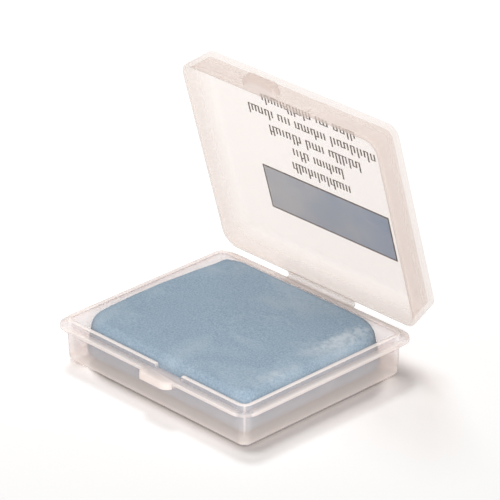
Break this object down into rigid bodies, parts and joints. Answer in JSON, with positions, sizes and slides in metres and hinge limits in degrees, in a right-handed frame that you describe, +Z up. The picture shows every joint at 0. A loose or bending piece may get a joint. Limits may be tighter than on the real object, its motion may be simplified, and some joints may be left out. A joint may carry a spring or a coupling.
{
  "type": "kneadable eraser in hinged case",
  "caption": "Soft kneadable putty eraser in a thin translucent plastic case, whose lid is moulded on through a film hinge and stands open.",
  "frame": {"origin": "middle of the case's closed footprint, on the table under the tray", "axes": "+Z up from the table, +Y from the latch to the hinge, +X along the hinge"},
  "size_m": [0.048, 0.0486, 0.0504],
  "materials": {
    "case_plastic": "frosted translucent polypropylene, satin",
    "hinge_film": "thin translucent polypropylene",
    "putty": "dull kneadable putty",
    "blue_ink": "screen-printed ink",
    "dark_ink": "screen-printed ink"
  },
  "bodies": {
    "tray": {"case_base": "case_plastic", "eraser": "putty", "hinge_web": "hinge_film"},
    "lid": {"case_lid": "case_plastic", "print_blue": "blue_ink", "print_dark": "dark_ink"}
  },
  "joints": [
    {"name": "lid_hinge", "type": "hinge", "parent": "tray", "child": "lid", "pos_m": [0, 0.02145, 0.0071], "axis": [-1, 0, 0], "range_deg": [-74.5, 105.5], "deforming": ["hinge_web"]}
  ]
}
